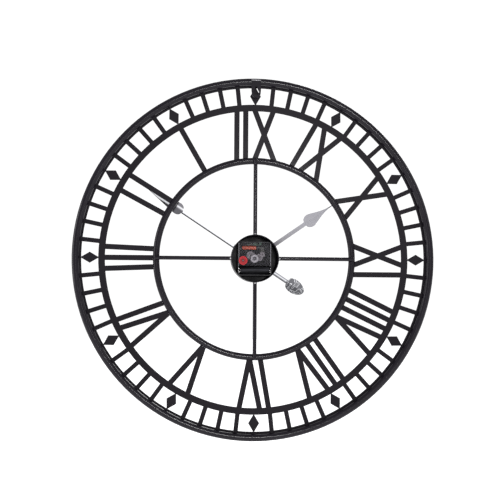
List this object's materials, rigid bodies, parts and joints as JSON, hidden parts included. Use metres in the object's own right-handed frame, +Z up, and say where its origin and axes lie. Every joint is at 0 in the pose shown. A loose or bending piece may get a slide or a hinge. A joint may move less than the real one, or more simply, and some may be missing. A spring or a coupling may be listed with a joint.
{
  "type": "wall clock",
  "caption": "Large round skeleton wall clock in black steel with Roman numerals, silver spade hands, an open-backed hub cup with a quartz movement, and a keyhole hanger.",
  "frame": {"origin": "the point of the wall plane at the top of the hanger's keyhole, where the nail bears; the hands' axis is 288 mm below it", "axes": "+Z up, the dial faces -Y, the wall is on the +Y side"},
  "size_m": [0.604, 0.0453, 0.6039],
  "materials": {
    "black_powder_coat": "satin powder coat",
    "black_plastic": "matt moulded",
    "smoky_clear": "clear, smoke tinted",
    "copper_coil": "enamelled copper wire",
    "bright_steel": "bright",
    "circuit_green": "solder mask",
    "battery_wrap": "plain shrink wrap",
    "brass": "machined",
    "black_rubber": "moulded",
    "dark_magnet": "sintered",
    "white_plastic": "moulded",
    "red_plastic": "moulded",
    "satin_silver": "satin",
    "bright_silver": "polished"
  },
  "bodies": {
    "frame": {"battery": "battery_wrap", "battery_contact_negative": "bright_steel", "battery_contact_positive": "bright_steel", "chapter_ring": "black_powder_coat", "circuit_board": "circuit_green", "circuit_chip": "black_plastic", "coil_bobbin": "black_plastic", "coil_winding": "copper_coil", "flat_washer": "brass", "hanger_plate": "black_powder_coat", "hex_nut": "brass", "hour_diamonds": "black_powder_coat", "hub_cup": "black_powder_coat", "inner_ring": "black_powder_coat", "minute_bars": "black_powder_coat", "mounting_bushing": "brass", "movement_base": "black_plastic", "movement_cover": "smoky_clear", "numeral_I": "black_powder_coat", "numeral_II": "black_powder_coat", "numeral_III": "black_powder_coat", "numeral_IV": "black_powder_coat", "numeral_IX": "black_powder_coat", "numeral_V": "black_powder_coat", "numeral_VI": "black_powder_coat", "numeral_VII": "black_powder_coat", "numeral_VIII": "black_powder_coat", "numeral_X": "black_powder_coat", "numeral_XI": "black_powder_coat", "numeral_XII": "black_powder_coat", "outer_band": "black_powder_coat", "outer_ring": "black_powder_coat", "quartz_crystal": "bright_steel", "rubber_washer": "black_rubber", "spoke_bottom": "black_powder_coat", "spoke_left": "black_powder_coat", "spoke_right": "black_powder_coat", "spoke_top": "black_powder_coat", "stator": "bright_steel", "train_plate": "black_plastic", "weld_beads": "black_powder_coat"},
    "minute": {"cannon_pinion": "white_plastic", "minute_hand": "bright_silver", "minute_hand_collet": "bright_silver", "hand_nut": "bright_silver"},
    "hour": {"hour_wheel": "white_plastic", "hour_hand": "satin_silver", "hour_hand_collet": "bright_silver"},
    "minute_wheel": {"minute_wheel": "white_plastic"},
    "set_knob": {"set_knob": "red_plastic", "set_gear": "white_plastic"},
    "intermediate_wheel": {"intermediate_wheel": "white_plastic"},
    "rotor": {"rotor_magnet": "dark_magnet", "rotor_pinion": "white_plastic"},
    "second_wheel": {"second_wheel": "white_plastic"},
    "third_wheel": {"third_wheel": "white_plastic"},
    "centre_wheel": {"centre_wheel": "white_plastic"}
  },
  "joints": [
    {"name": "minute_spin", "type": "hinge", "parent": "frame", "child": "minute", "pos_m": [0, -0.0135, -0.288], "axis": [0, 1, 0], "continuous": true},
    {"name": "hour_spin", "type": "hinge", "parent": "frame", "child": "hour", "pos_m": [0, -0.0135, -0.288], "axis": [0, 1, 0], "continuous": true},
    {"name": "minute_wheel_spin", "type": "hinge", "parent": "frame", "child": "minute_wheel", "pos_m": [0.00865, -0.0135, -0.28241], "axis": [0, 1, 0], "continuous": true},
    {"name": "set_knob_spin", "type": "hinge", "parent": "frame", "child": "set_knob", "pos_m": [0.0196, -0.0135, -0.2914], "axis": [0, 1, 0], "continuous": true},
    {"name": "intermediate_spin", "type": "hinge", "parent": "frame", "child": "intermediate_wheel", "pos_m": [-0.00808, -0.0135, -0.28569], "axis": [0, 1, 0], "continuous": true},
    {"name": "rotor_spin", "type": "hinge", "parent": "frame", "child": "rotor", "pos_m": [-0.01302, -0.0135, -0.28074], "axis": [0, 1, 0], "continuous": true},
    {"name": "second_spin", "type": "hinge", "parent": "frame", "child": "second_wheel", "pos_m": [0, -0.0135, -0.288], "axis": [0, 1, 0], "continuous": true},
    {"name": "third_spin", "type": "hinge", "parent": "frame", "child": "third_wheel", "pos_m": [0.00628, -0.0135, -0.28273], "axis": [0, 1, 0], "continuous": true},
    {"name": "centre_spin", "type": "hinge", "parent": "frame", "child": "centre_wheel", "pos_m": [0, -0.0135, -0.288], "axis": [0, 1, 0], "continuous": true}
  ],
  "couplings": [
    {"joint": "hour_spin", "follows": "minute_spin", "ratio": 0.083333},
    {"joint": "minute_wheel_spin", "follows": "minute_spin", "ratio": -0.33333},
    {"joint": "set_knob_spin", "follows": "minute_spin", "ratio": 0.4},
    {"joint": "rotor_spin", "follows": "intermediate_spin", "ratio": -6},
    {"joint": "second_spin", "follows": "intermediate_spin", "ratio": -0.2},
    {"joint": "third_spin", "follows": "intermediate_spin", "ratio": 0.026667},
    {"joint": "centre_spin", "follows": "intermediate_spin", "ratio": -0.0033333}
  ]
}
